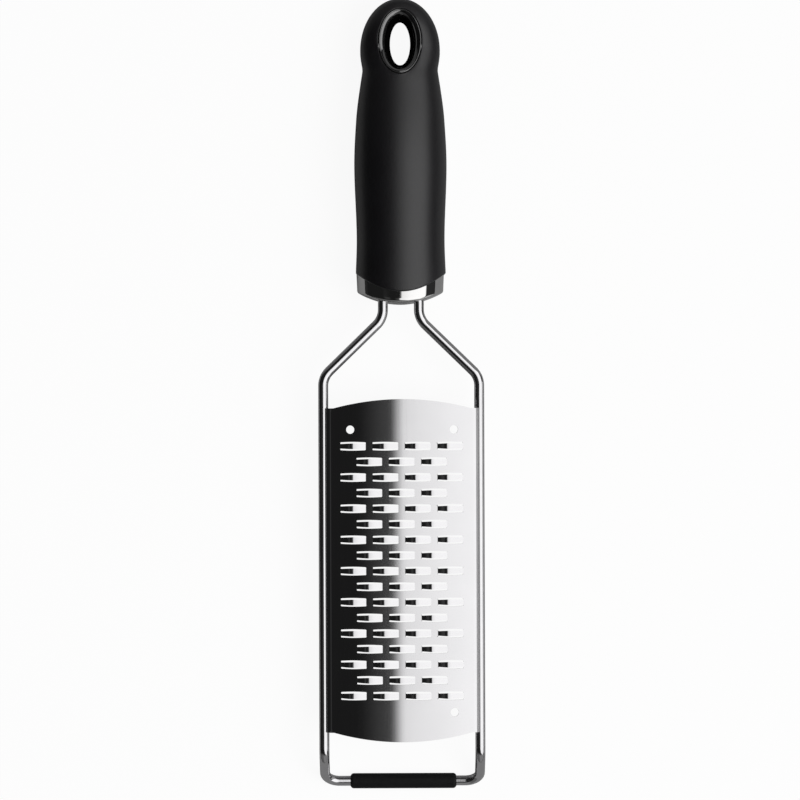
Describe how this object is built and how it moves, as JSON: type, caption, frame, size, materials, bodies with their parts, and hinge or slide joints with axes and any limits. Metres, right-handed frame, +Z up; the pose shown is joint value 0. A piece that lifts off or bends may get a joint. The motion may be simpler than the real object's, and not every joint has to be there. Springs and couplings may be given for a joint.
{
  "type": "ribbon grater",
  "caption": "Hand grater: an arched steel blade with staggered raised ribbon cutters on a bent wire frame, a soft oval handle with a hanging eye, and a bent-back foot in a rubber sleeve.",
  "frame": {"origin": "middle of the part's bounding box on the table it lies on, with the blade facing up", "axes": "+X across the blade to the right as seen from the front, +Y along the length from the foot to the hanging eye, +Z up out of the grating face"},
  "size_m": [0.068, 0.3266, 0.0344],
  "materials": {
    "blade_steel": "bright stainless sheet with a fine grain, etched cutting edges",
    "polished_wire": "mirror-polished stainless wire",
    "polished_cap": "bright chrome plating on a moulded cap",
    "foot_rubber": "matt black rubber",
    "gloss_black": "polished black plastic",
    "soft_black": "soft-touch black with a matt, finely textured skin"
  },
  "bodies": {
    "root": {"blade": "blade_steel", "wire_frame": "polished_wire", "foot_sleeve": "foot_rubber", "handle_core": "gloss_black", "collar_cap": "polished_cap", "grip_sleeve": "soft_black"}
  },
  "joints": []
}
